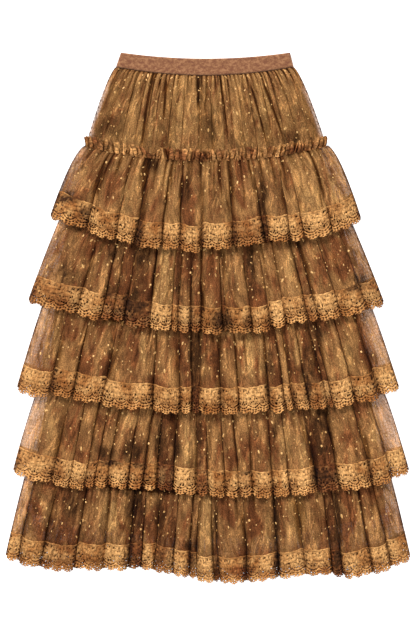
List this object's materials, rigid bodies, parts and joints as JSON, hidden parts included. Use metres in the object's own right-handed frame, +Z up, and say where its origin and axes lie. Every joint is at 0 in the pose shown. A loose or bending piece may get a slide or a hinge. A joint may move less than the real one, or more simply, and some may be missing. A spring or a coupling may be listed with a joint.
{
  "type": "tiered ruffle skirt",
  "caption": "Long skirt laid flat, with an elastic waist, a gathered net yoke and tiers of net ruffles edged in scalloped lace.",
  "frame": {"origin": "middle of the skirt's length and width, on the surface that it lies on", "axes": "+Y towards the waist, -Y towards the hem, +X to the right as the front is seen, +Z up out of the front"},
  "size_m": [0.7305, 0.9521, 0.0273],
  "materials": {
    "net": "sheer dyed net with a fine metallic fleck",
    "lace": "matt corded lace",
    "band": "brushed, suede-like",
    "lining": "matt woven"
  },
  "bodies": {
    "root": {"waistband_front": "band", "waistband_back": "band", "underskirt_front": "lining", "underskirt_back": "lining", "yoke_front": "net", "yoke_back": "net", "heading_front": "net", "heading_back": "net", "ruffle_1_front": "net", "ruffle_1_back": "net", "ruffle_2_front": "net", "ruffle_2_back": "net", "ruffle_3_front": "net", "ruffle_3_back": "net", "ruffle_4_front": "net", "ruffle_4_back": "net", "ruffle_5_front": "net", "ruffle_5_back": "net", "lace_1_front": "lace", "lace_1_back": "lace", "lace_2_front": "lace", "lace_2_back": "lace", "lace_3_front": "lace", "lace_3_back": "lace", "lace_4_front": "lace", "lace_4_back": "lace", "lace_5_front": "lace", "lace_5_back": "lace"}
  },
  "joints": []
}
